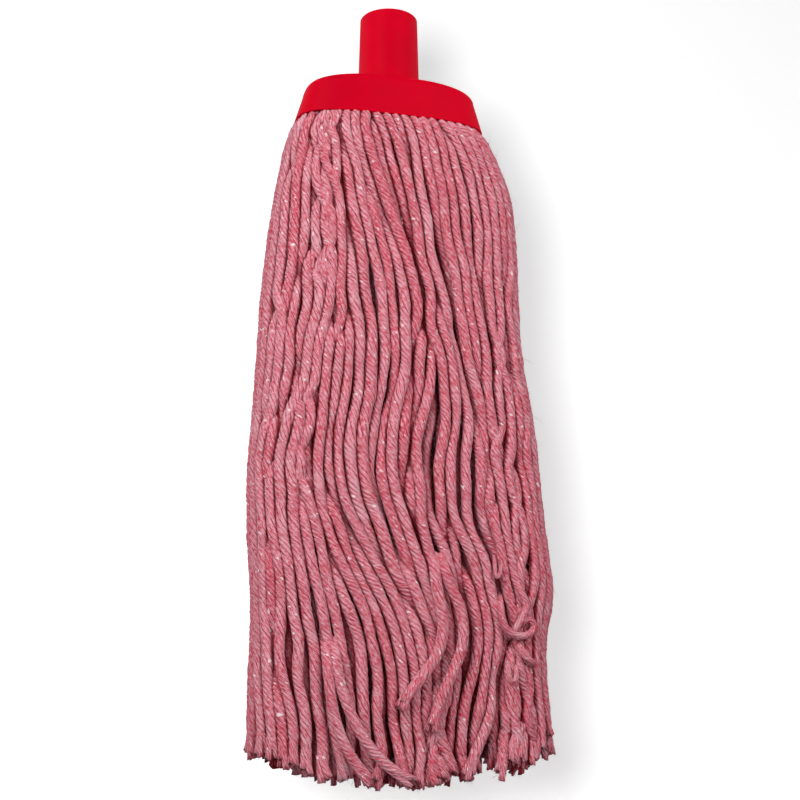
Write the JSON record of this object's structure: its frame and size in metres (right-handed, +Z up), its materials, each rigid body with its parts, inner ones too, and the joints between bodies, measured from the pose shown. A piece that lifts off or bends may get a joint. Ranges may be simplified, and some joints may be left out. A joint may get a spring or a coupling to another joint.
{
  "type": "string mop head",
  "caption": "String mop head: red moulded oblong cap with a round handle socket, clamping thick locks of pink twisted cotton yarn that hang below and swing out.",
  "frame": {"origin": "middle of the handle socket's mouth", "axes": "+Z up along the handle socket, X along the cap, -Y its front"},
  "size_m": [0.1534, 0.0496, 0.4038],
  "materials": {
    "red_plastic": "satin moulded",
    "bar_plastic": "plain moulded",
    "zinc_steel": "zinc plated",
    "pink_yarn": "twisted cotton yarn, pink and white melange"
  },
  "bodies": {
    "head": {"socket_cap": "red_plastic", "clamp_bar": "bar_plastic", "clamp_screw_left": "zinc_steel", "clamp_screw_right": "zinc_steel", "yarn_fold_left": "pink_yarn", "yarn_fold_centre": "pink_yarn", "yarn_fold_right": "pink_yarn"},
    "front_right_strings": {"front_right_lock_1": "pink_yarn", "front_right_lock_2": "pink_yarn", "front_right_lock_3": "pink_yarn"},
    "right_front_corner_strings": {"right_front_corner_lock_1": "pink_yarn", "right_front_corner_lock_2": "pink_yarn", "right_front_corner_lock_3": "pink_yarn"},
    "right_rear_corner_strings": {"right_rear_corner_lock_1": "pink_yarn", "right_rear_corner_lock_2": "pink_yarn", "right_rear_corner_lock_3": "pink_yarn"},
    "rear_right_strings": {"rear_right_lock_1": "pink_yarn", "rear_right_lock_2": "pink_yarn", "rear_right_lock_3": "pink_yarn"},
    "rear_left_strings": {"rear_left_lock_1": "pink_yarn", "rear_left_lock_2": "pink_yarn", "rear_left_lock_3": "pink_yarn"},
    "left_rear_corner_strings": {"left_rear_corner_lock_1": "pink_yarn", "left_rear_corner_lock_2": "pink_yarn", "left_rear_corner_lock_3": "pink_yarn"},
    "left_front_corner_strings": {"left_front_corner_lock_1": "pink_yarn", "left_front_corner_lock_2": "pink_yarn", "left_front_corner_lock_3": "pink_yarn"},
    "front_left_strings": {"front_left_lock_1": "pink_yarn", "front_left_lock_2": "pink_yarn", "front_left_lock_3": "pink_yarn"}
  },
  "joints": [
    {"name": "front_right_swing", "type": "hinge", "parent": "head", "child": "front_right_strings", "pos_m": [0.01245, -0.01362, -0.0711], "axis": [-0.9992, -0.039, 0], "range_deg": [0, 60]},
    {"name": "right_front_corner_swing", "type": "hinge", "parent": "head", "child": "right_front_corner_strings", "pos_m": [0.03542, -0.0082, -0.0711], "axis": [-0.8122, -0.5834, 0], "range_deg": [0, 60]},
    {"name": "right_rear_corner_swing", "type": "hinge", "parent": "head", "child": "right_rear_corner_strings", "pos_m": [0.03542, 0.0082, -0.0711], "axis": [0.8122, -0.5834, 0], "range_deg": [0, 60]},
    {"name": "rear_right_swing", "type": "hinge", "parent": "head", "child": "rear_right_strings", "pos_m": [0.01245, 0.01362, -0.0711], "axis": [0.9992, -0.039, 0], "range_deg": [0, 60]},
    {"name": "rear_left_swing", "type": "hinge", "parent": "head", "child": "rear_left_strings", "pos_m": [-0.01245, 0.01362, -0.0711], "axis": [0.9992, 0.039, 0], "range_deg": [0, 60]},
    {"name": "left_rear_corner_swing", "type": "hinge", "parent": "head", "child": "left_rear_corner_strings", "pos_m": [-0.03542, 0.0082, -0.0711], "axis": [0.8122, 0.5834, 0], "range_deg": [0, 60]},
    {"name": "left_front_corner_swing", "type": "hinge", "parent": "head", "child": "left_front_corner_strings", "pos_m": [-0.03542, -0.0082, -0.0711], "axis": [-0.8122, 0.5834, 0], "range_deg": [0, 60]},
    {"name": "front_left_swing", "type": "hinge", "parent": "head", "child": "front_left_strings", "pos_m": [-0.01245, -0.01362, -0.0711], "axis": [-0.9992, 0.039, 0], "range_deg": [0, 60]}
  ]
}
